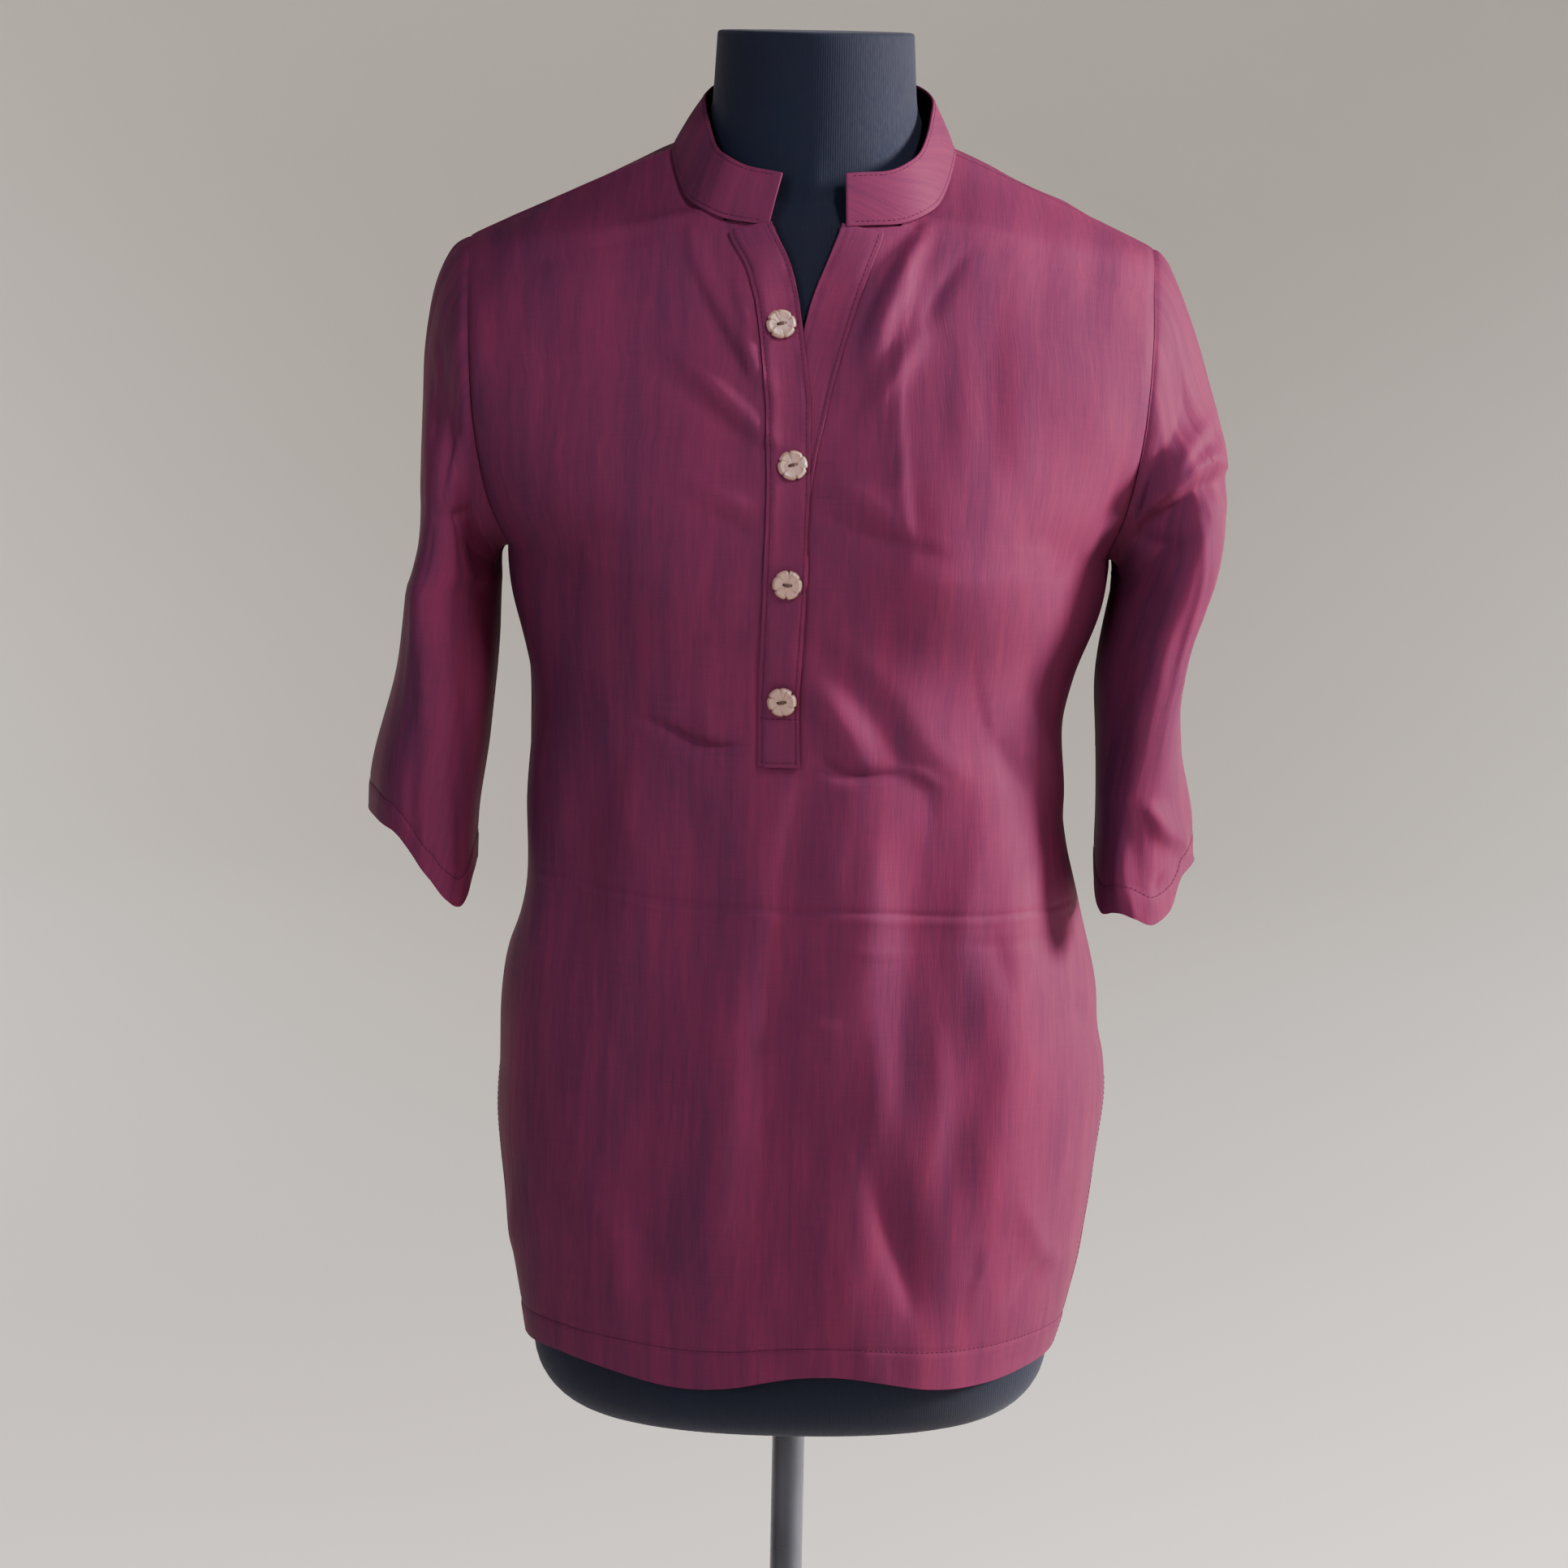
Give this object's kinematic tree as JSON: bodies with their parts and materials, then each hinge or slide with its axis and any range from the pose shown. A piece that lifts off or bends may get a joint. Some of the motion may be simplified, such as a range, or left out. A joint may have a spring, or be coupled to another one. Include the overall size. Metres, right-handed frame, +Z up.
{
  "type": "cotton top on limbless dress form with stand",
  "caption": "Short cotton top with a stand collar, buttoned half placket and three-quarter sleeves, worn on a limbless dress form on a steel pole with a round flat base.",
  "frame": {"origin": "centre of the base's flat underside, on the floor and on the pole's axis", "axes": "+Z up along the pole, -Y the way the front of the top faces, +X to the right as one looks at the front"},
  "size_m": [0.4821, 0.35, 1.498],
  "materials": {
    "cotton": "shot slub cotton, maroon and plum",
    "button": "pale carved wood, satin",
    "jersey": "black navy jersey, matt",
    "steel": "grey, satin"
  },
  "bodies": {
    "root": {"front": "cotton", "back": "cotton", "sleeve_left": "cotton", "sleeve_right": "cotton", "collar": "cotton", "placket_over": "cotton", "placket_under": "cotton", "button_1": "button", "button_2": "button", "button_3": "button", "button_4": "button", "form": "jersey", "pole": "steel", "base": "steel"}
  },
  "joints": []
}
